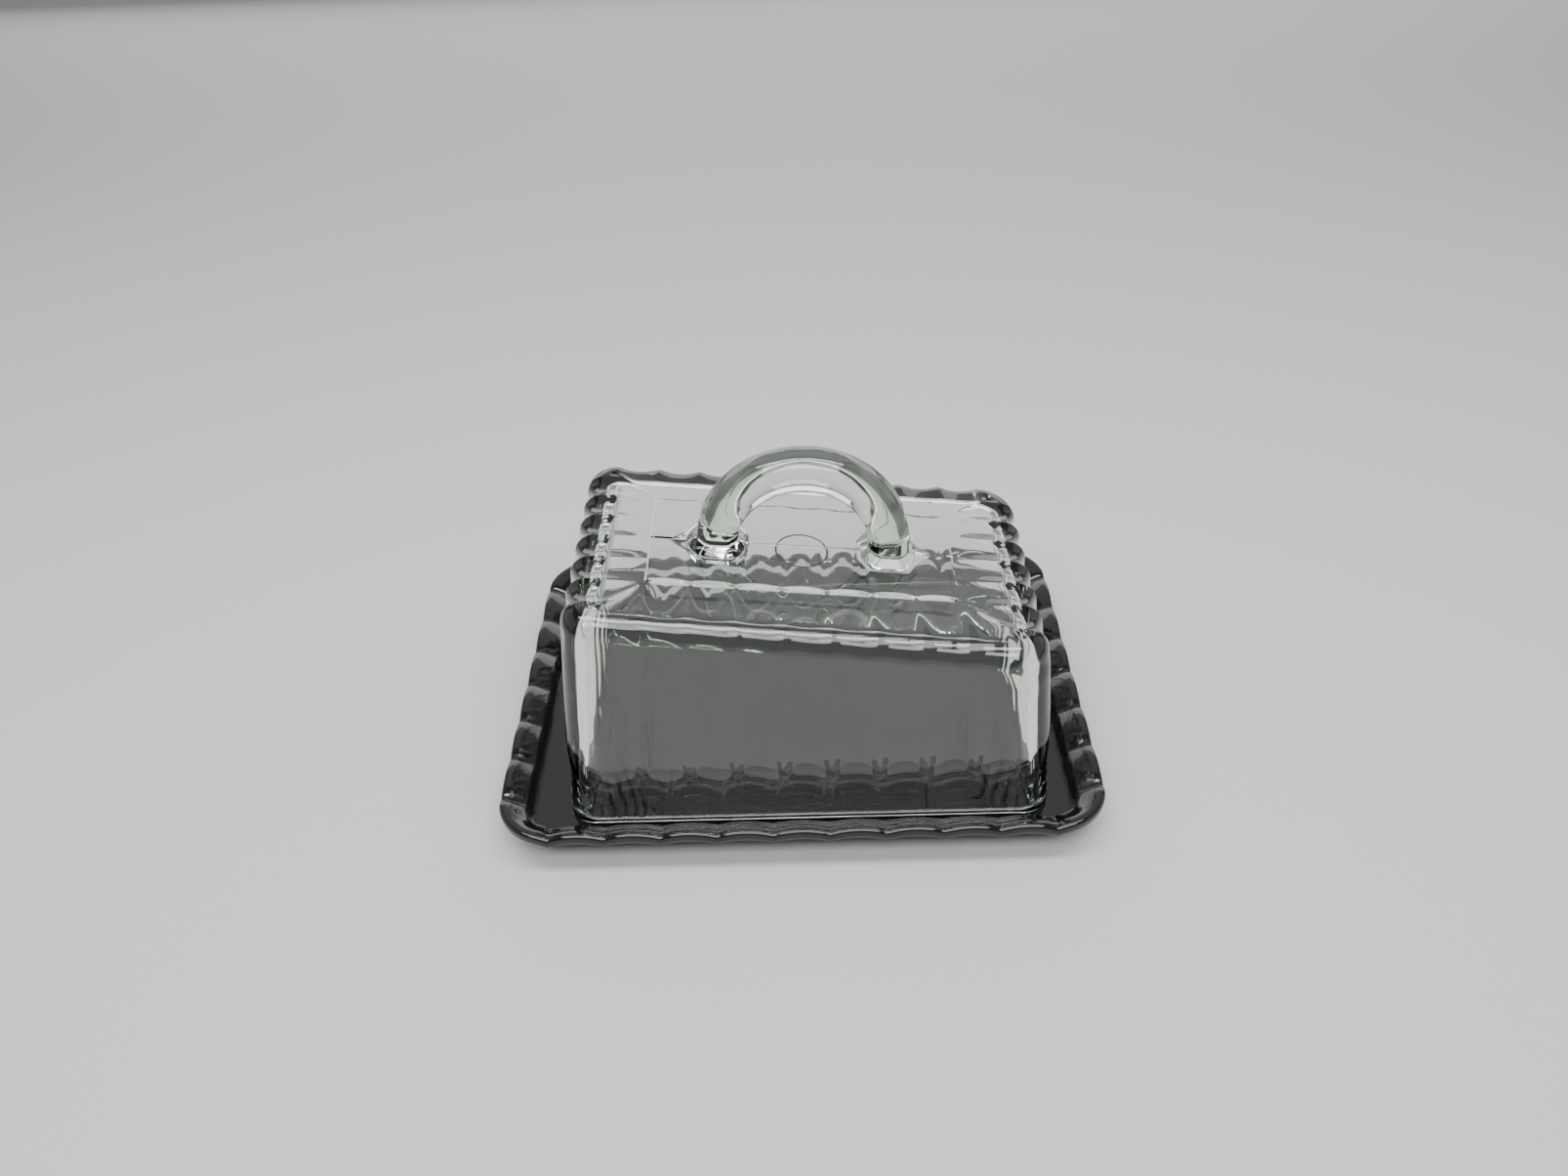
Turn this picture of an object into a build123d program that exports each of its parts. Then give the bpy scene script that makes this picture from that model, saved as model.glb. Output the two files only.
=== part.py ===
from build123d import *
import math
import os

# Covered butter dish in pressed glass.  Two pieces: a black tray and a clear cover.
# Units are millimetres.  X runs along the length, +Y is the back, +Z is up.
# The origin is the centre of the tray's underside, on the table.

# ---- Tray: overall form -------------------------------------------------------------
tray_length = 200.0
tray_width = 144.0
tray_corner_radius = 18.0
rim_height = 16.0
well_floor_height = 6.0

# ---- Tray: rim and foot -------------------------------------------------------------
lip_thickness = 3.0          # level top of the rim
lip_height = 3.5             # upright outer edge of the rim
rim_band_width = 5.0         # sloping band inside the lip
rim_band_drop = 3.5
well_step_width = 2.0        # steep step from the band down to the floor
long_side_arches = 9
short_side_arches = 6
arch_rise = 1.8              # crest of an arch above the cusps beside it
corner_ramp = 9.0            # length over which the plain corner rises from its cusp
waist_height = 8.0
waist_inset = 4.0
foot_inset = 10.0
foot_ring_width = 5.0
foot_recess_depth = 1.2

# ---- Cover: overall form ------------------------------------------------------------
cover_clearance = 9.7        # from the cover's base to the foot of the tray's step, centred
cover_height = 74.6          # base to crown, at the middle of the length
crown_slope = 6.75           # degrees: the crown falls towards +X
end_draft = 5.6              # degrees
side_draft = 7.0             # degrees
shoulder_radius = 7.5
cover_place = (2.6, -7.0)    # where the cover stands in the well
wall_thickness = 6.5         # under a ridge
crown_thickness = 6.0
inner_shoulder_radius = 4.0
inner_corner_radius = 5.0

# ---- Cover: fluting -----------------------------------------------------------------
long_side_flutes = 9
short_side_flutes = 6
panel_flutes_long = 7        # the flat panel is this many flutes long
panel_flutes_short = 4       # and this many flutes wide
long_side_margin = 10.5      # plain glass between the last flute and the corner
short_side_margin = 11.0
flute_depth = 1.2
flute_reach = 1.4            # how far a flute reaches into the panel
corner_gather = 0.9          # spacing of the flute ends drawn together at a panel corner
band_slope = 1.5             # degrees: fall of the band around the panel
plain_band_height = 17.0     # unfluted band above the base, level with the flutes
flute_runout = 12.0          # length over which the ridges die out above that band
shoulder_steps = 4           # straight stretches of a flute round the shoulder
cutter_relief = 3.0          # how far a cutting tool stands proud of the glass

# ---- Handle -------------------------------------------------------------------------
handle_span = 55.0           # between the centre lines of the two legs
handle_bar_width = 13.5      # across the bar, in the plane of the loop
handle_bar_depth = 14.0      # across the bar, square to the loop
handle_bar_corner = 5.5
handle_rise = 37.0           # crown to the top of the loop
foot_pad_length = 17.5
foot_pad_width = 17.0
foot_pad_chamfer_long = 3.3  # along the cover
foot_pad_chamfer_deep = 5.6  # across it
foot_pad_height = 4.5
foot_pad_taper = 22.0        # degrees
handle_root = 3.0            # how deep the handle is joined into the crown

# ---- Worked out from the sizes above --------------------------------------------------
# The cover stands in the well, so its base follows from the well's flat floor.
well_inset = lip_thickness + rim_band_width + well_step_width
cover_length = tray_length - 2 * (well_inset + cover_clearance - flute_depth)  # over the ridges
cover_width = tray_width - 2 * (well_inset + cover_clearance - flute_depth)


def tangent(degrees):
    return math.tan(math.radians(degrees))


def crown_height(x):
    """Height of the crown plane above the table at a given X."""
    return well_floor_height + cover_height + (cover_place[0] - x) * tangent(crown_slope)


def crown_plane(depth=0.0):
    """Plane of the flat crown panel, or one parallel to it inside the glass."""
    lean = math.radians(crown_slope)
    middle = Vector(*cover_place, well_floor_height + cover_height)
    along = Vector(math.cos(lean), 0, -math.sin(lean))
    upward = Vector(math.sin(lean), 0, math.cos(lean))
    return Plane(origin=middle - upward * depth, x_dir=along, z_dir=upward)


def rounded_block(sections, radius, centre=(0.0, 0.0)):
    """Solid through rounded rectangles, each given as (length, width, height)."""
    solid = None
    for lower, upper in zip(sections, sections[1:]):
        faces = []
        for length, width, height in (lower, upper):
            outline = RectangleRounded(length, width, radius)
            faces.append(Pos(centre[0], centre[1], height) * outline)
        segment = loft(faces, ruled=True)
        solid = segment if solid is None else solid + segment
    return solid


# ---- Tray ---------------------------------------------------------------------------

def inset_section(inset, height):
    """One level of the tray: its outline moved in by an inset, at a height."""
    return (tray_length - 2 * inset, tray_width - 2 * inset, height)


def rim_arches(count, length):
    """Face above a row of arches, drawn in XZ and centred on the rim's length."""
    pitch = (length - 2 * tray_corner_radius) / count
    start = -pitch * count / 2
    cusp = rim_height - arch_rise
    top = rim_height + cutter_relief
    with BuildSketch(Plane.XZ) as sketch:
        with BuildLine():
            Line((start - corner_ramp, top), (start - corner_ramp, rim_height))
            Line((start - corner_ramp, rim_height), (start, cusp))
            for index in range(count):
                left = start + index * pitch
                crest = (left + pitch / 2, rim_height)
                ThreePointArc((left, cusp), crest, (left + pitch, cusp))
            Line((-start, cusp), (-start + corner_ramp, rim_height))
            Line((-start + corner_ramp, rim_height), (-start + corner_ramp, top))
            Line((-start + corner_ramp, top), (start - corner_ramp, top))
        make_face()
    return sketch.sketch


def rim_cutters():
    """Four bars that shape the top of the rim into arches, one for each side."""
    reach = tray_corner_radius + cutter_relief
    cutters = []
    for count, length, width, turn in (
        (long_side_arches, tray_length, tray_width, 0),
        (short_side_arches, tray_width, tray_length, 90),
    ):
        profile = rim_arches(count, length)
        bar = extrude(profile, amount=reach, dir=(0, -1, 0))
        inner_edge = width / 2 - tray_corner_radius
        for side in (0, 180):
            cutters.append(Rot(0, 0, turn + side) * Pos(0, -inner_edge, 0) * bar)
    return cutters


def make_tray():
    lip_bottom = rim_height - lip_height
    outside = rounded_block(
        [
            inset_section(foot_inset, 0.0),
            inset_section(waist_inset, waist_height),
            inset_section(0.0, lip_bottom),
            inset_section(0.0, rim_height),
        ],
        tray_corner_radius,
    )
    band_edge = lip_thickness + rim_band_width
    step_top = rim_height - rim_band_drop
    fall = rim_band_drop / rim_band_width * cutter_relief
    well = rounded_block(
        [
            inset_section(well_inset, well_floor_height),
            inset_section(band_edge, step_top),
            inset_section(lip_thickness - cutter_relief, rim_height + fall),
        ],
        tray_corner_radius - lip_thickness,
    )
    recess_inset = foot_inset + foot_ring_width
    recess = extrude(
        RectangleRounded(
            tray_length - 2 * recess_inset,
            tray_width - 2 * recess_inset,
            tray_corner_radius - foot_ring_width,
        ),
        amount=foot_recess_depth,
    )
    tray = outside - well - recess
    for cutter in rim_cutters():
        tray = tray - cutter
    return tray


# ---- Cover: plain glass ---------------------------------------------------------------

def flute_span(height, long_side):
    """Length taken up by the row of flutes on one side, at a height above the base."""
    if long_side:
        return cover_length - 2 * height * tangent(end_draft) - 2 * long_side_margin
    return cover_width - 2 * height * tangent(side_draft) - 2 * short_side_margin


def panel_half_size():
    """Half the length and half the width of the flat panel on the crown."""
    length = flute_span(cover_height, True) * panel_flutes_long / long_side_flutes
    width = flute_span(cover_height, False) * panel_flutes_short / short_side_flutes
    return length / 2, width / 2


def drafted_block(inset, radius):
    """Block with the cover's drafted sides, moved in by an inset, taller than the crown."""
    rise = crown_height(cover_place[0] - cover_length / 2) - well_floor_height
    lower = (cover_length - 2 * inset, cover_width - 2 * inset, well_floor_height)
    upper = (
        lower[0] - 2 * rise * tangent(end_draft),
        lower[1] - 2 * rise * tangent(side_draft),
        well_floor_height + rise,
    )
    return rounded_block([lower, upper], radius, cover_place)


def side_data(side):
    """Half size, draft, flute count and panel edge for a side given by its direction."""
    long_side = side[0] == 0
    half_length, half_width = panel_half_size()
    if long_side:
        return cover_width / 2, side_draft, long_side_flutes, half_width
    return cover_length / 2, end_draft, short_side_flutes, half_length


def wall_point(side, place, height, sunk=0.0):
    """Point on a drafted side.  Place runs from -1 to 1 along it; sunk is depth in it."""
    half_size, draft, _, _ = side_data(side)
    across = Vector(side[0], side[1], 0)
    level = across.rotate(Axis.Z, 90)
    distance = half_size - height * tangent(draft) - sunk
    offset = place * flute_span(height, side[0] == 0) / 2
    base = Vector(*cover_place, well_floor_height + height)
    return base + across * distance + level * offset


def shoulder_point(side, place, share, sunk=0.0):
    """Point on the rounded shoulder.  Share runs from 0 on the side to 1 on the band."""
    _, draft, _, panel_edge = side_data(side)
    crown = crown_plane()
    across = Vector(side[0], side[1], 0)
    lean_across = crown.x_dir * side[0] + crown.y_dir * side[1]
    lean_level = crown.x_dir * -side[1] + crown.y_dir * side[0]
    band = math.radians(band_slope)
    band_run = lean_across * math.cos(band) - crown.z_dir * math.sin(band)
    band_out = lean_across * math.sin(band) + crown.z_dir * math.cos(band)
    wall = math.radians(draft)
    wall_run = across * math.sin(wall) - Vector(0, 0, math.cos(wall))
    wall_out = across * math.cos(wall) + Vector(0, 0, math.sin(wall))

    # The corner is where the band, carried straight on, would meet the side.
    offset = place * flute_span(cover_height, side[0] == 0) / 2
    edge = crown.origin + lean_across * panel_edge + lean_level * offset
    gap = (wall_point(side, place, cover_height) - edge).dot(wall_out)
    corner = edge + band_run * (gap / band_run.dot(wall_out))
    turn = math.radians(band_run.get_angle(wall_run))
    setback = shoulder_radius * math.tan(turn / 2)
    centre = corner - band_run * setback - band_out * shoulder_radius
    angle = turn * (1 - share)
    outward = band_out * math.cos(angle) + band_run * math.sin(angle)
    return centre + outward * (shoulder_radius - sunk)


def panel_point(side, place, reach=0.0):
    """Point on the edge of the flat panel, or a little way into it.

    The outermost flutes run out at the panel's corners, so the places past the
    panel's own flutes are drawn together there.
    """
    long_side = side[0] == 0
    half_length, half_width = panel_half_size()
    _, _, count, panel_edge = side_data(side)
    half_edge = half_length if long_side else half_width
    own = (panel_flutes_long if long_side else panel_flutes_short) / count
    crown = crown_plane()
    lean_across = crown.x_dir * side[0] + crown.y_dir * side[1]
    lean_level = crown.x_dir * -side[1] + crown.y_dir * side[0]
    inner_part = half_edge - 2 * corner_gather
    if abs(place) <= own:
        offset = place / own * inner_part
    else:
        past = (abs(place) - own) / (1 - own)
        offset = math.copysign(inner_part + past * corner_gather, place)
    return crown.origin + lean_across * (panel_edge - reach) + lean_level * offset


def outline(point_on, sunk, plain=False):
    """Closed wire round the cover at one level.

    A fluted level has an arc for each flute, sunk between its ridges.  A plain one
    lies at the flutes' depth all round.
    """
    depth = sunk if plain else 0.0
    edges = []
    sides = ((0, -1), (1, 0), (0, 1), (-1, 0))
    for side, following in zip(sides, sides[1:] + sides[:1]):
        _, _, count, _ = side_data(side)
        for index in range(count):
            start, middle, end = ((2 * index + half) / count - 1 for half in (0, 1, 2))
            first, last = point_on(side, start, depth), point_on(side, end, depth)
            if plain:
                edges.append(Line(first, last))
            else:
                edges.append(ThreePointArc(first, point_on(side, middle, sunk), last))
        here, there = point_on(side, 1, depth), point_on(following, -1, depth)
        along_here = here - point_on(side, 0, depth)
        along_there = there - point_on(following, 0, depth)
        edges.append(corner_arc(here, there, along_here, along_there))
    return Wire(edges)


def corner_arc(here, there, along_here, along_there):
    """Arc round a vertical corner, bulging as a quarter ellipse does."""
    step = there - here
    run = along_here.normalized()
    turn = along_there.normalized()
    bulge = 1 - math.sqrt(0.5)
    corner = here + run * step.dot(run)
    middle = corner + (turn * step.dot(turn) - run * step.dot(run)) * bulge
    return ThreePointArc(here, middle, there)


def outer_form():
    """The cover's fluted outside, built up level by level from base to panel."""

    def at_height(height):
        return lambda side, place, sunk: wall_point(side, place, height, sunk)

    def at_share(share):
        return lambda side, place, sunk: shoulder_point(side, place, share, sunk)

    levels = [
        outline(at_height(0.0), flute_depth, plain=True),
        outline(at_height(plain_band_height), flute_depth, plain=True),
        outline(at_height(plain_band_height + flute_runout), flute_depth),
    ]
    for step in range(shoulder_steps + 1):
        levels.append(outline(at_share(step / shoulder_steps), flute_depth))
    levels.append(outline(panel_point, flute_reach))
    return Solid.make_loft(levels, ruled=True)


def inner_form():
    """The hollow inside the cover, smooth all over."""
    block = drafted_block(wall_thickness, inner_corner_radius)
    form = split(block, crown_plane(crown_thickness), Keep.BOTTOM)
    ceiling = form.faces().sort_by(Axis.Z)[-1]
    return fillet(ceiling.edges(), inner_shoulder_radius)


# ---- Handle ---------------------------------------------------------------------------

def foot_pad():
    """Outline of a foot: an oblong with its corners cut back."""
    half_length, half_width = foot_pad_length / 2, foot_pad_width / 2
    short_length = half_length - foot_pad_chamfer_long
    short_width = half_width - foot_pad_chamfer_deep
    corner = [(short_length, half_width), (half_length, short_width)]
    corners = corner + [(x, -y) for x, y in reversed(corner)]
    return Polygon(*corners, *[(-x, -y) for x, y in corners], align=None)


def make_handle():
    """Loop handle: a bar bent over the crown, on two flared feet."""
    radius = handle_span / 2
    centre_x, centre_y = cover_place
    top = crown_height(centre_x) + handle_rise
    centre_z = top - handle_bar_width / 2 - radius
    left, right = centre_x - radius, centre_x + radius
    roots = [crown_height(x) - handle_root for x in (left, right)]
    with BuildLine(Plane.XZ.offset(-centre_y)) as path:
        Line((left, roots[0]), (left, centre_z))
        ThreePointArc((left, centre_z), (centre_x, centre_z + radius), (right, centre_z))
        Line((right, centre_z), (right, roots[1]))
    start = Plane(origin=(left, centre_y, roots[0]), z_dir=(0, 0, 1))
    bar = RectangleRounded(handle_bar_width, handle_bar_depth, handle_bar_corner)
    handle = sweep(start * bar, path.line)
    for x in (left, right):
        foot = Plane(
            origin=(x, centre_y, crown_height(x)),
            x_dir=crown_plane().x_dir,
            z_dir=crown_plane().z_dir,
        )
        pad = foot_pad()
        handle = handle + extrude(foot.offset(-handle_root) * pad, amount=handle_root)
        handle = handle + extrude(foot * pad, amount=foot_pad_height, taper=foot_pad_taper)
    return handle


def make_cover():
    return outer_form() - inner_form() + make_handle()


os.makedirs("parts", exist_ok=True)
export_step(make_tray(), "parts/tray.step")
export_step(make_cover(), "parts/cover.step")
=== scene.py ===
import math

import bmesh
import bpy
from mathutils import Matrix, Vector


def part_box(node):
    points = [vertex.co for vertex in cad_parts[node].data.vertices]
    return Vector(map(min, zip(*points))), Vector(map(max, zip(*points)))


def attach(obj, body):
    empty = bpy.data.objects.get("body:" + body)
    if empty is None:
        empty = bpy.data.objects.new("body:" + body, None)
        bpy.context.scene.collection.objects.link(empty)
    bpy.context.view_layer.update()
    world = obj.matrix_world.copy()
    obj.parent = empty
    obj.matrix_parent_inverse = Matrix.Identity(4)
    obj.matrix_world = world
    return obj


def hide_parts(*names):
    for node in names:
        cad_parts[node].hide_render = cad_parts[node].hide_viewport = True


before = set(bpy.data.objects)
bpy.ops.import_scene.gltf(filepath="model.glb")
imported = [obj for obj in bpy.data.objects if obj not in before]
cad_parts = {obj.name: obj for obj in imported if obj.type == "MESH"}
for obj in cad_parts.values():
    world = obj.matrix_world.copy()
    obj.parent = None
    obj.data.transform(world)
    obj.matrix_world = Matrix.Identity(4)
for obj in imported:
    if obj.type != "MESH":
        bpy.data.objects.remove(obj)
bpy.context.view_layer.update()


# ---- Black glass tray ----------------------------------------------------------------
# The tray is black soda-lime glass pressed in one piece, with a row of shallow arches
# along each side of the rim.  It stands on a narrow foot ring and holds the cover in
# its flat well.

MM = 0.001
tray_low, tray_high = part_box("tray")
TRAY_HALF = Vector((tray_high.x, tray_high.y))
TRAY_CORNER = 18 * MM
TRAY_ARCHES = (9, 6)
ARCH_RISE = 1.8 * MM
ARCH_STEPS = 14
TRAY_CORNER_STEPS = 28
WELL_FLOOR = 6 * MM

# From the underside, round the foot, up the outside, over the rim and down to the
# well: inset from the tray's edge, height, and how much of the arches' rise it takes.
TRAY_PROFILE = (
    (15.4, 1.2, 0), (15.0, 1.1, 0), (14.8, 0.4, 0), (14.4, 0.0, 0), (10.9, 0.0, 0),
    (10.4, 0.15, 0), (9.9, 0.5, 0), (7.0, 3.9, 0), (4.2, 7.4, 0), (3.7, 8.1, 0.1),
    (2.0, 10.2, 0.3), (0.7, 11.8, 0.6), (0.25, 12.4, 0.75), (0.05, 12.9, 0.85),
    (0.0, 13.5, 0.9), (0.0, 14.9, 1), (0.12, 15.4, 1), (0.45, 15.8, 1), (1.0, 16.0, 1),
    (1.8, 16.0, 1), (2.6, 15.86, 1), (3.4, 15.5, 1), (5.0, 14.5, 0.95),
    (6.6, 13.4, 0.9), (7.7, 12.7, 0.85), (8.1, 12.3, 0.8), (8.35, 11.7, 0.7),
    (8.7, 10.0, 0.4), (9.3, 7.3, 0.08), (9.6, 6.5, 0), (10.1, 6.1, 0), (10.8, 6.0, 0),
    (12.4, 6.0, 0),
)


def walk_round(half, corner, counts, steps, corner_steps):
    """Stations round an oblong with round corners: place, outward way, share of arch."""
    stations = []
    quarter = math.pi / 2
    straight = (half.x - corner, half.y - corner)
    for side in range(4):
        turn = Matrix.Rotation(side * quarter, 2)
        reach = straight[side % 2]
        edge = (half.y, half.x)[side % 2]
        total = counts[side % 2] * steps
        for step in range(total):
            place = Vector((-reach + 2 * reach * step / total, -edge))
            share = 2 * (step % steps) / steps - 1
            stations.append((turn @ place, turn @ Vector((0, -1)), share ** 2))
        centre = Vector((reach, -edge + corner))
        for step in range(corner_steps):
            angle = quarter * step / corner_steps
            outward = Vector((math.sin(angle), -math.cos(angle)))
            share = abs(2 * step / corner_steps - 1)
            stations.append((turn @ (centre + outward * corner), turn @ outward, share ** 5))
    return stations


def ring_shell(first_ring, later_rings):
    """A shell drawn out ring by ring from a closed loop of edges, capped at both ends."""
    shell = bmesh.new()
    bmesh.ops.create_circle(shell, cap_ends=True, segments=len(first_ring), radius=1)
    shell.verts.ensure_lookup_table()
    ring = list(shell.verts)
    for vert, place in zip(ring, first_ring):
        vert.co = place
    edges = list(shell.edges)
    for places in later_rings:
        made = bmesh.ops.extrude_edge_only(shell, edges=edges)["geom"]
        edges = [part for part in made if isinstance(part, bmesh.types.BMEdge)]
        fresh = {part.index: part for part in made if isinstance(part, bmesh.types.BMVert)}
        ring = follow(ring, fresh.values())
        for vert, place in zip(ring, places):
            vert.co = place
    bmesh.ops.contextual_create(shell, geom=edges)
    return shell


def follow(ring, fresh):
    """The new verts of an extruded loop, in the order of the verts they came from."""
    fresh = set(fresh)
    return [next(e.other_vert(v) for e in v.link_edges if e.other_vert(v) in fresh) for v in ring]


def tray_ring(stations, inset, height, arch):
    places = []
    for place, outward, low in stations:
        spot = place - outward * inset * MM
        places.append(Vector((spot.x, spot.y, height * MM - ARCH_RISE * arch * low)))
    return places


def finish_mesh(shell, name):
    """Object from a bmesh: doubles merged, faces outward and smooth."""
    bmesh.ops.remove_doubles(shell, verts=shell.verts, dist=0.004 * MM)
    bmesh.ops.dissolve_degenerate(shell, edges=shell.edges, dist=0.004 * MM)
    bmesh.ops.recalc_face_normals(shell, faces=shell.faces)
    for face in shell.faces:
        face.smooth = True
    mesh = bpy.data.meshes.new(name)
    shell.to_mesh(mesh)
    shell.free()
    piece = bpy.data.objects.new(name, mesh)
    bpy.context.scene.collection.objects.link(piece)
    return piece


stations = walk_round(TRAY_HALF, TRAY_CORNER, TRAY_ARCHES, ARCH_STEPS, TRAY_CORNER_STEPS)
rings = [tray_ring(stations, *row) for row in TRAY_PROFILE]
tray = finish_mesh(ring_shell(rings[0], rings[1:]), "black_glass_tray")


def add_node(material, kind, settings=None, **links):
    """Adds a node to a material, with its settings, and links its inputs."""
    node = material.node_tree.nodes.new(kind)
    for name, value in (settings or {}).items():
        if name in node.inputs:
            node.inputs[name].default_value = value
        else:
            setattr(node, name, value)
    for name, source in links.items():
        material.node_tree.links.new(source, node.inputs[name.replace("_", " ")])
    return node


def linear(hex_colour):
    """Linear RGBA from an sRGB hex value."""
    parts = [int(hex_colour[i:i + 2], 16) / 255 for i in (1, 3, 5)]
    return [p / 12.92 if p <= 0.04045 else ((p + 0.055) / 1.055) ** 2.4 for p in parts] + [1]


def per_metre(size_mm):
    """Noise scale for features of about this size."""
    return 1 / (size_mm * MM)


def new_material(name):
    material = bpy.data.materials.new(name)
    material.use_nodes = True
    material.node_tree.nodes.clear()
    return material


# Black soda-lime glass, pressed and fire-polished: a deep black body under a mirror
# gloss, with the faint slow waviness of glass that cooled against an iron mould, and
# thin finger smears that show only as a softer reflection.
black_glass = new_material("black_pressed_glass")
where = add_node(black_glass, "ShaderNodeTexCoord").outputs["Object"]
wave = add_node(
    black_glass, "ShaderNodeTexNoise",
    {"Scale": per_metre(16), "Detail": 1.0, "Roughness": 0.4}, Vector=where,
)
chill = add_node(
    black_glass, "ShaderNodeTexNoise",
    {"Scale": per_metre(2.2), "Detail": 2.0, "Roughness": 0.5}, Vector=where,
)
slow = add_node(
    black_glass, "ShaderNodeBump", {"Strength": 0.25, "Distance": 0.25 * MM},
    Height=wave.outputs["Fac"],
)
fine = add_node(
    black_glass, "ShaderNodeBump", {"Strength": 0.04, "Distance": 0.03 * MM},
    Height=chill.outputs["Fac"], Normal=slow.outputs["Normal"],
)
smear = add_node(
    black_glass, "ShaderNodeTexNoise",
    {"Scale": per_metre(30), "Detail": 4.0, "Roughness": 0.6, "Distortion": 0.8}, Vector=where,
)
gloss = add_node(
    black_glass, "ShaderNodeMapRange",
    {"From Min": 0.45, "From Max": 0.75, "To Min": 0.03, "To Max": 0.12},
    Value=smear.outputs["Fac"],
)
body = add_node(
    black_glass, "ShaderNodeBsdfPrincipled",
    {"Base Color": linear("#08080a"), "IOR": 1.52},
    Roughness=gloss.outputs["Result"], Normal=fine.outputs["Normal"],
)
add_node(black_glass, "ShaderNodeOutputMaterial", Surface=body.outputs["BSDF"])

tray.data.materials.append(black_glass)
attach(tray, "tray")
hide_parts("tray")


# ---- Clear glass cover ---------------------------------------------------------------
# The cover is clear glass pressed in one piece with its handle.  Its crown slopes down
# to the right.  Hollow flutes run from the crown's flat panel over the shoulder and
# down the sides, and their ridges die out in small points above a plain band.

cover_low, cover_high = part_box("cover")
CROWN_SLOPE = math.radians(6.75)
HANDLE_RISE = 37 * MM
FLUTE_DEPTH = 1.2 * MM
COVER_MIDDLE = Vector(((cover_low.x + cover_high.x) / 2, (cover_low.y + cover_high.y) / 2))
AIR_GAP = 0.05 * MM          # glass on glass never quite touches
COVER_BASE = cover_low.z + AIR_GAP
COVER_RISE = cover_high.z - HANDLE_RISE - COVER_BASE
COVER_HALF = Vector((
    (cover_high.x - cover_low.x) / 2 + FLUTE_DEPTH,
    (cover_high.y - cover_low.y) / 2 + FLUTE_DEPTH,
))
COVER_DRAFT = (math.radians(5.6), math.radians(7.0))
COVER_MARGIN = (10.5 * MM, 11.0 * MM)
COVER_FLUTES = (9, 6)
PANEL_FLUTES = (7, 4)
BAND_FALL = 0.5 * MM
PLAIN_BAND = 17 * MM
RIDGE_RUNOUT = 12 * MM
GLASS_WALL = 6.5 * MM
GLASS_CROWN = 6.0 * MM
INNER_CORNER = 5.0 * MM
FLUTE_STEPS = 12
COVER_CORNER_STEPS = 14

crown_middle = Vector((*COVER_MIDDLE, COVER_BASE + COVER_RISE))
crown_along = Vector((math.cos(CROWN_SLOPE), 0, -math.sin(CROWN_SLOPE)))
crown_up = Vector((math.sin(CROWN_SLOPE), 0, math.cos(CROWN_SLOPE)))
crown_back = Vector((0, 1, 0))


def row_span(axis, height):
    """Length of the row of flutes along X or Y, at a height above the base."""
    across = 1 - axis
    half = COVER_HALF[axis] - height * math.tan(COVER_DRAFT[axis])
    return 2 * (half - COVER_MARGIN[axis])


panel_half = Vector([
    row_span(axis, COVER_RISE) / 2 * PANEL_FLUTES[axis] / COVER_FLUTES[axis] for axis in (0, 1)
])


def ridge_share(place, count):
    """0 in the middle of a flute, 1 on the ridge beside it, with the ridge rounded off."""
    phase = (place + 1) / 2 * count
    across = abs(2 * (phase - math.floor(phase)) - 1)
    soft = 0.10
    low = 1 - across ** 2
    return 1 - (math.sqrt(low ** 2 + soft ** 2) - soft) / (math.sqrt(1 + soft ** 2) - soft)


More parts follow.
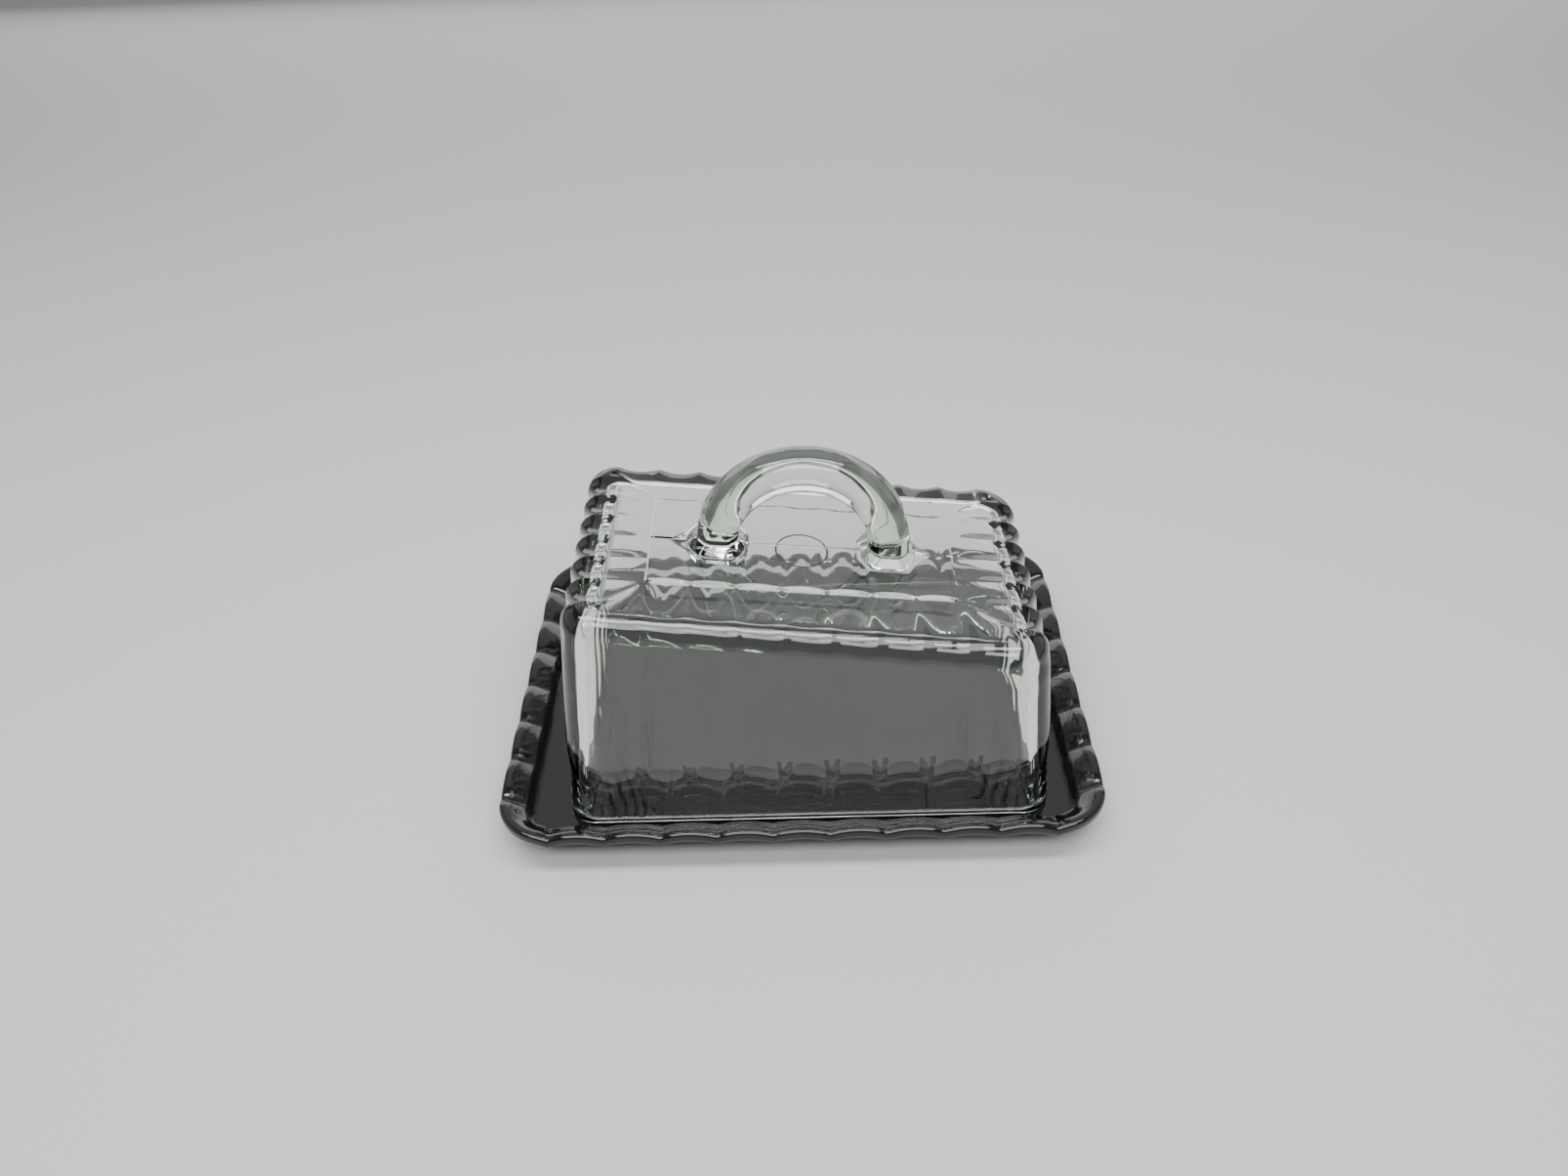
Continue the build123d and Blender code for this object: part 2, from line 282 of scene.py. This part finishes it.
class Skin:
    """One skin of the cover, outside or inside, as a rule for points on its surface."""

    def __init__(self, sunk, crown_depth, shoulder, fluted):
        self.sunk, self.crown_depth = sunk, crown_depth
        self.shoulder, self.fluted = shoulder, fluted

    def side(self, side, place):
        """Directions and distances of one side: 0 front, 1 right, 2 back, 3 left."""
        axis = side % 2
        turn = Matrix.Rotation(side * math.pi / 2, 3, "Z")
        across = turn @ Vector((0, -1, 0))
        level = turn @ Vector((1, 0, 0))
        draft = COVER_DRAFT[1 - axis]
        half = COVER_HALF[1 - axis] - self.sunk / math.cos(draft)
        return axis, across, level, draft, half

    def wall(self, side, place, height, inward=0.0):
        axis, across, level, draft, half = self.side(side, place)
        distance = half - height * math.tan(draft) - inward
        if self.fluted:
            offset = place * row_span(axis, height) / 2
        else:
            lean = COVER_DRAFT[axis]
            inside = COVER_HALF[axis] - height * math.tan(lean) - self.sunk / math.cos(lean)
            offset = place * (inside - INNER_CORNER)
        base = Vector((*COVER_MIDDLE, COVER_BASE + height))
        return base + across * distance + level * offset

    def shoulder_point(self, side, place, share, inward=0.0):
        """Point on the round shoulder: share 0 on the side, 1 at the band's edge."""
        axis, across, level, draft, half = self.side(side, place)
        lean = crown_along * across.x + crown_back * across.y
        fall = BAND_FALL if self.fluted else 0.0
        tilt = math.atan2(fall, 15 * MM)
        run = lean * math.cos(tilt) - crown_up * math.sin(tilt)
        out = lean * math.sin(tilt) + crown_up * math.cos(tilt)
        wall_run = across * math.sin(draft) - Vector((0, 0, math.cos(draft)))
        wall_out = across * math.cos(draft) + Vector((0, 0, math.sin(draft)))
        edge = crown_middle - crown_up * self.crown_depth
        edge = edge + lean * panel_half[1 - axis]
        flat = self.wall(side, place, COVER_RISE)
        along = crown_along * level.x + crown_back * level.y
        edge = edge + along * (flat - crown_middle).dot(level)
        corner = edge + run * ((flat - edge).dot(wall_out) / run.dot(wall_out))
        turn = run.angle(wall_run)
        centre = corner - run * self.shoulder * math.tan(turn / 2) - out * self.shoulder
        angle = turn * (1 - share)
        outward = out * math.cos(angle) + run * math.sin(angle)
        return centre + outward * (self.shoulder - inward)

    def flute_sink(self, side, place, proud=1.0):
        """Depth of the fluting below the ridges' level."""
        if not self.fluted:
            return 0.0
        share = ridge_share(place, COVER_FLUTES[side % 2])
        return FLUTE_DEPTH * (1 - max(0.0, share - (1 - proud)))


def round_cover(skin, point, proud=1.0):
    """One ring round a skin, from a rule for a point at a side and place."""
    ring = []
    for side in range(4):
        count = COVER_FLUTES[side % 2]
        for step in range(count * FLUTE_STEPS):
            place = 2 * step / (count * FLUTE_STEPS) - 1
            ring.append(point(side, place, skin.flute_sink(side, place, proud)))
        sink = FLUTE_DEPTH * (1 - proud) if skin.fluted else 0.0
        here, there = point(side, 1, sink), point((side + 1) % 4, -1, sink)
        run = (here - point(side, 0, sink)).normalized()
        turn = (there - point((side + 1) % 4, 0, sink)).normalized()
        step_over = there - here
        run_part, turn_part = run * step_over.dot(run), turn * step_over.dot(turn)
        rest = step_over - run_part - turn_part
        for step in range(COVER_CORNER_STEPS):
            angle = math.pi / 2 * step / COVER_CORNER_STEPS
            spot = here + run_part * math.sin(angle) + turn_part * (1 - math.cos(angle))
            ring.append(spot + rest * step / COVER_CORNER_STEPS)
    return ring


def crown_rings(shoulder_ring):
    """Rings over the fluted band and a little way into the flat panel."""
    local = []
    for spot in shoulder_ring:
        away = spot - crown_middle
        local.append(Vector((away.dot(crown_along), away.dot(crown_back))))
    reach_x = {}
    reach_y = {}
    for sign in (-1, 1):
        ends = [p.x * sign for p in local if abs(p.y) < panel_half.y / 2 and p.x * sign > 0]
        backs = [p.y * sign for p in local if abs(p.x) < panel_half.x / 2 and p.y * sign > 0]
        reach_x[sign] = max(ends) - panel_half.x
        reach_y[sign] = max(backs) - panel_half.y
    rings = []
    for share, inset in BAND_STEPS:
        ring = []
        for spot in local:
            sign_x, sign_y = math.copysign(1, spot.x), math.copysign(1, spot.y)
            wide = panel_half.x + share * reach_x[sign_x] - inset
            deep = panel_half.y + share * reach_y[sign_y] - inset
            x = min(abs(spot.x), wide) * sign_x
            y = min(abs(spot.y), deep) * sign_y
            ring.append(on_crown(x, y, reach_x[sign_x], reach_y[sign_y]))
        rings.append(ring)
    return rings


def on_crown(x, y, reach_x, reach_y):
    """A spot of the crown: the raised panel, or the fluted band around it."""
    past_x, past_y = abs(x) - panel_half.x, abs(y) - panel_half.y
    on_end = past_x / reach_x > past_y / reach_y
    past, reach = (past_x, reach_x) if on_end else (past_y, reach_y)
    along, axis = (y, 1) if on_end else (x, 0)
    row_half = row_span(axis, COVER_RISE) / 2
    hip = abs(past_x / reach_x - past_y / reach_y) * min(reach_x, reach_y)
    scoop = (1 - ridge_share(along / row_half, COVER_FLUTES[axis])) * min(1, hip / HIP_WIDTH)
    bevel = PANEL_BEVEL[axis] + FLUTE_REACH[axis] * scoop
    step = BAND_FALL * min(1, max(0, 1 + past / bevel))
    sink = step + FLUTE_DEPTH * scoop * min(1, max(0, past / reach))
    return crown_middle + crown_along * x + crown_back * y - crown_up * sink


# For the long sides and for the ends: how far a flute bites into the panel's edge, and
# the width of the edge's bevel between the flutes.
FLUTE_REACH = (1.4 * MM, 0.0)
PANEL_BEVEL = (0.35 * MM, 0.7 * MM)
HIP_WIDTH = 1.2 * MM         # ridge left standing on a mitre between two sides
# How far out each ring of the band lies, then how far into the panel.
BAND_STEPS = [(1 - step / 14, 0.0) for step in range(1, 15)]
BAND_STEPS += [(0.0, 0.175 * MM * step) for step in range(1, 11)]
OUTER = Skin(0.0, 0.0, 7.5 * MM, True)
INNER = Skin(GLASS_WALL, GLASS_CROWN, 6.0 * MM, False)
INNER_ROUND = 1.0 * MM
OUTER_ROUND = 1.9 * MM
ROUND_STEPS = 6


def wall_rule(skin, height, inward=0.0):
    return lambda side, place, sink: skin.wall(side, place, height, inward + sink)


def shoulder_rule(skin, share):
    return lambda side, place, sink: skin.shoulder_point(side, place, share, sink)


def upper_rule(skin, share, start):
    """Between a height on the side and the start of the shoulder."""
    def rule(side, place, sink):
        top = skin.shoulder_point(side, place, 0.0).z - COVER_BASE
        return skin.wall(side, place, start + (top - start) * share, sink)
    return rule


cover_rings = []
for step in range(9):
    cover_rings.append(round_cover(INNER, shoulder_rule(INNER, 1 - step / 8)))
for step in range(1, 9):
    cover_rings.append(round_cover(INNER, upper_rule(INNER, 1 - step / 8, 3 * MM)))
for step in range(ROUND_STEPS + 1):
    angle = math.pi / 2 * step / ROUND_STEPS
    inward = -INNER_ROUND * (1 - math.cos(angle))
    height = INNER_ROUND * (1 - math.sin(angle))
    cover_rings.append(round_cover(INNER, wall_rule(INNER, height, inward)))
for step in range(ROUND_STEPS + 1):
    angle = math.pi / 2 * step / ROUND_STEPS
    inward = OUTER_ROUND * (1 - math.sin(angle))
    height = OUTER_ROUND * (1 - math.cos(angle))
    cover_rings.append(round_cover(OUTER, wall_rule(OUTER, height, inward), 0.0))
for height in (6 * MM, 12 * MM, PLAIN_BAND - 0.6 * MM):
    cover_rings.append(round_cover(OUTER, wall_rule(OUTER, height), 0.0))
for step in range(17):
    proud = step / 16
    height = PLAIN_BAND + RIDGE_RUNOUT * proud
    cover_rings.append(round_cover(OUTER, wall_rule(OUTER, height), proud))
for step in range(1, 10):
    rule = upper_rule(OUTER, step / 10, PLAIN_BAND + RIDGE_RUNOUT)
    cover_rings.append(round_cover(OUTER, rule))
for step in range(17):
    cover_rings.append(round_cover(OUTER, shoulder_rule(OUTER, step / 16)))
cover_rings += crown_rings(round_cover(OUTER, shoulder_rule(OUTER, 1), 0.0))
cover = finish_mesh(ring_shell(cover_rings[0], cover_rings[1:]), "clear_glass_cover")


# ---- Loop handle ---------------------------------------------------------------------
# The handle is pressed with the cover: a round-cornered bar bent over the crown, with
# eight-sided feet that flare into the panel.  It is joined in, so the glass is one solid.

HANDLE_SPAN = 55 * MM
BAR_HALF = Vector((6.75, 7.0)) * MM
BAR_SLANT_HALF = 7.15 * MM   # out to the slanted faces between the flat ones
BAR_EDGE_POWER = 14          # the higher, the crisper the edges between its eight faces
FOOT_HALF = Vector((9.4, 9.8)) * MM
FOOT_CUT = Vector((3.3, 5.6)) * MM
FOOT_TIP = 5 * MM            # the foot's outer end runs out along the mould seam
FOOT_FILLET = 0.7 * MM
FLARE_HEIGHT = 2.8 * MM
LEG_HEIGHT = 14 * MM         # above this the leg is part of the loop
LEG_LIFTS = [-2.5, -1.0] + [0.7 * step / 6 for step in range(6)]
LEG_LIFTS += [0.7 + 12.8 * step / 26 for step in range(26)]
EDGE_STEPS = 6
LOOP_STEPS = 64
loop_radius = HANDLE_SPAN / 2
loop_centre = Vector((*COVER_MIDDLE, cover_high.z - BAR_HALF.x - loop_radius))


def foot_outline(tip):
    """Spots round a foot: an oblong with its corners cut back and a tip on its outer end."""
    full, cut = FOOT_HALF, FOOT_HALF - FOOT_CUT
    corners = [
        (full.x, -cut.y), (full.x, cut.y), (cut.x, full.y), (-cut.x, full.y),
        (-full.x, cut.y), (-full.x - tip, 0), (-full.x, -cut.y), (-cut.x, -full.y),
        (cut.x, -full.y),
    ]
    spots = []
    for here, there in zip(corners, corners[1:] + corners[:1]):
        for step in range(EDGE_STEPS):
            spots.append(Vector(here).lerp(Vector(there), step / EDGE_STEPS))
    return spots


def bar_spot(spot):
    """The bar's surface in the direction of a spot on the foot's outline."""
    away = spot.normalized()
    slant = BAR_SLANT_HALF * math.sqrt(2)
    faces = (
        away.x / BAR_HALF.x, away.y / BAR_HALF.y,
        (away.x + away.y) / slant, (away.x - away.y) / slant,
    )
    size = sum(abs(face) ** BAR_EDGE_POWER for face in faces)
    return away / size ** (1 / BAR_EDGE_POWER)


bar_spots = [bar_spot(spot) for spot in foot_outline(FOOT_TIP)]


def loop_spot(angle, spot):
    """A spot of the bar on the loop, angle running from 0 on the left to pi on the right."""
    outward = Vector((-math.cos(angle), 0, math.sin(angle)))
    return loop_centre + outward * (loop_radius - spot.x) + crown_back * spot.y


def fading(lift, height, power):
    """1 at the crown, falling to 0 at a height over it."""
    return min(1.0, max(0.0, 1 - lift / height)) ** power


def leg_ring(side, lift):
    """Ring of a leg at a height over the crown: side is -1 on the left, 1 on the right."""
    x = loop_centre.x + side * loop_radius
    foot = crown_middle - Vector((0, 0, (x - crown_middle.x) * math.tan(CROWN_SLOPE)))
    foot.x = x
    height = foot.z + lift - loop_centre.z
    angle = math.asin(max(0.0, height) / loop_radius)
    drop = Vector((0, 0, min(0.0, height)))
    bent = 1 - fading(lift, LEG_HEIGHT, 1)
    bent = bent * bent * (3 - 2 * bent)
    ring = []
    outline = foot_outline(FOOT_TIP * fading(lift, FLARE_HEIGHT, 3))
    for bar, edge in zip(bar_spots, outline):
        spot = bar.lerp(edge, fading(lift, FLARE_HEIGHT, 1.0))
        spot += spot.normalized() * FOOT_FILLET * fading(lift, FOOT_FILLET, 2)
        flat = foot - crown_along * spot.x * side + crown_back * spot.y + crown_up * lift
        round_loop = loop_spot(angle if side < 0 else math.pi - angle, spot) + drop
        ring.append(flat.lerp(round_loop, bent))
    return ring, angle


left_legs = [leg_ring(-1, lift * MM)[0] for lift in LEG_LIFTS]
right_legs = [leg_ring(1, lift * MM)[0] for lift in LEG_LIFTS]
start = leg_ring(-1, LEG_HEIGHT)[1]
stop = math.pi - leg_ring(1, LEG_HEIGHT)[1]
bends = []
for step in range(LOOP_STEPS + 1):
    angle = start + (stop - start) * step / LOOP_STEPS
    bends.append([loop_spot(angle, spot) for spot in bar_spots])
handle_rings = left_legs + bends + right_legs[::-1]
handle = finish_mesh(ring_shell(handle_rings[0], handle_rings[1:]), "handle_bar")


def join_glass(piece, tool):
    """Joins another lump of glass into a piece."""
    change = piece.modifiers.new("join", "BOOLEAN")
    change.operation = "UNION"
    change.solver = "EXACT"
    change.object = tool
    bpy.context.view_layer.update()
    result = bpy.data.meshes.new_from_object(
        piece.evaluated_get(bpy.context.evaluated_depsgraph_get())
    )
    piece.modifiers.clear()
    piece.data = result
    bpy.data.objects.remove(tool)


join_glass(cover, handle)

# The mould opened along the handle, and left a fine wavy seam across the panel.  The
# plunger's valve left a raised ring on the underside of the crown.
SEAM_HALF_WIDTH = 0.5 * MM
SEAM_PROUD = 0.4 * MM
SEAM_WANDER = 0.18 * MM
SEAM_WAVE = 11 * MM
SEAM_STEPS = 60
VALVE_RADIUS = 8.5 * MM
VALVE_BEAD = 0.32 * MM
VALVE_SET_BACK = 1.4 * MM

seam_rings = []
for step in range(SEAM_STEPS + 1):
    along = panel_half.x * (2 * step / SEAM_STEPS - 1)
    wander = SEAM_WANDER * math.sin(along / SEAM_WAVE) * math.cos(along / SEAM_WAVE / 2.3)
    ring = []
    for corner in range(8):
        angle = math.pi * corner / 4
        across = wander + SEAM_HALF_WIDTH * math.cos(angle)
        ring.append(
            crown_middle + crown_along * along + crown_back * across
            + crown_up * SEAM_PROUD * math.sin(angle)
        )
    seam_rings.append(ring)
join_glass(cover, finish_mesh(ring_shell(seam_rings[0], seam_rings[1:]), "mould_seam"))

bead = bmesh.new()
bmesh.ops.create_circle(bead, segments=8, radius=VALVE_BEAD)
bmesh.ops.rotate(bead, verts=bead.verts, matrix=Matrix.Rotation(math.pi / 2, 3, "X"))
bmesh.ops.translate(bead, verts=bead.verts, vec=(VALVE_RADIUS, 0, 0))
bmesh.ops.spin(
    bead, geom=bead.edges[:], cent=(0, 0, 0), axis=(0, 0, 1), angle=2 * math.pi, steps=64,
    use_merge=True,
)
ceiling = crown_middle - crown_up * GLASS_CROWN + crown_back * VALVE_SET_BACK
lean = Matrix.Rotation(CROWN_SLOPE, 3, "Y")
bmesh.ops.rotate(bead, verts=bead.verts, matrix=lean)
bmesh.ops.translate(bead, verts=bead.verts, vec=ceiling)
join_glass(cover, finish_mesh(bead, "valve_ring"))

cover.data.name = cover.name
cover.data.set_sharp_from_angle(angle=math.radians(30))
flat_ways = (crown_up, Vector((0, 0, 1)))
for face in cover.data.polygons:
    if max(abs(face.normal.dot(way)) for way in flat_ways) > 0.99998:
        face.use_smooth = False

# Clear soda-lime glass, pressed and fire-polished: colourless across a wall and faintly
# green where the eye looks along it, with the slow ripple that a mould leaves.
clear_glass = new_material("clear_pressed_glass")
where = add_node(clear_glass, "ShaderNodeTexCoord").outputs["Object"]
ripple = add_node(
    clear_glass, "ShaderNodeTexNoise",
    {"Scale": per_metre(14), "Detail": 1.5, "Roughness": 0.45}, Vector=where,
)
slow = add_node(
    clear_glass, "ShaderNodeBump", {"Strength": 0.30, "Distance": 0.20 * MM},
    Height=ripple.outputs["Fac"],
)
body = add_node(
    clear_glass, "ShaderNodeBsdfPrincipled",
    {
        "Base Color": linear("#fbfdfb"), "IOR": 1.52, "Roughness": 0.0,
        "Transmission Weight": 1.0,
    },
    Normal=slow.outputs["Normal"],
)
depth_tint = add_node(
    clear_glass, "ShaderNodeVolumeAbsorption",
    {"Color": linear("#b2dca8"), "Density": 9.0},
)
add_node(
    clear_glass, "ShaderNodeOutputMaterial",
    Surface=body.outputs["BSDF"], Volume=depth_tint.outputs["Volume"],
)

cover.data.materials.clear()
cover.data.materials.append(clear_glass)
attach(cover, "cover")
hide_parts("cover")


# ---- Floor, light and camera ---------------------------------------------------------
# A plain pale floor under soft lights overhead, in front, behind and at both sides.

FLOOR_HALF = 3.0
floor_mesh = bmesh.new()
bmesh.ops.create_grid(floor_mesh, x_segments=1, y_segments=1, size=FLOOR_HALF)
bmesh.ops.translate(floor_mesh, verts=floor_mesh.verts, vec=(0, 0, tray_low.z))
floor = finish_mesh(floor_mesh, "floor")
paper = new_material("matt_studio_paper")
matt = add_node(
    paper, "ShaderNodeBsdfPrincipled", {"Base Color": linear("#b8b8b6"), "Roughness": 0.9},
)
add_node(paper, "ShaderNodeOutputMaterial", Surface=matt.outputs["BSDF"])
floor.data.materials.append(paper)


def soft_light(name, place, aim, size, power):
    lamp = bpy.data.lights.new(name, "AREA")
    lamp.shape = "RECTANGLE"
    lamp.size, lamp.size_y = size
    lamp.energy = power
    holder = bpy.data.objects.new(name, lamp)
    holder.location = place
    holder.rotation_euler = (Vector(aim) - Vector(place)).to_track_quat("-Z", "Y").to_euler()
    bpy.context.scene.collection.objects.link(holder)


soft_light("top_light", (0.0, -0.06, 0.75), (0, 0, 0), (1.0, 0.16), 7)
soft_light("front_light", (0.0, -0.50, 0.78), (0, 0, 0.05), (1.0, 0.26), 8)
soft_light("back_light", (0.0, 0.62, 0.78), (0, 0, 0.06), (1.2, 0.9), 2.2)
soft_light("back_wall", (0.0, 1.10, 0.30), (0, 0, 0.05), (2.0, 0.45), 5.5)
for side in (-1, 1):
    soft_light("side_light", (0.70 * side, 0.05, 0.30), (0, 0, 0.05), (0.8, 0.5), 0.8)

world = bpy.data.worlds.new("studio")
world.use_nodes = True
world.node_tree.nodes["Background"].inputs["Color"].default_value = linear("#e6e8ea")
world.node_tree.nodes["Background"].inputs["Strength"].default_value = 0.4
bpy.context.scene.world = world

view = bpy.data.cameras.new("camera")
view.sensor_width = 36
view.lens = 26.32
view.clip_start = 0.01
camera = bpy.data.objects.new("camera", view)
camera.location = (0.0013, -0.3027, 0.3089)
camera.rotation_euler = (
    Matrix.Rotation(math.radians(1.01), 4, "Z")
    @ Matrix.Rotation(math.radians(90 - 39.71), 4, "X")
    @ Matrix.Rotation(math.radians(-2.17), 4, "Z")
).to_euler()
bpy.context.scene.collection.objects.link(camera)
bpy.context.scene.camera = camera
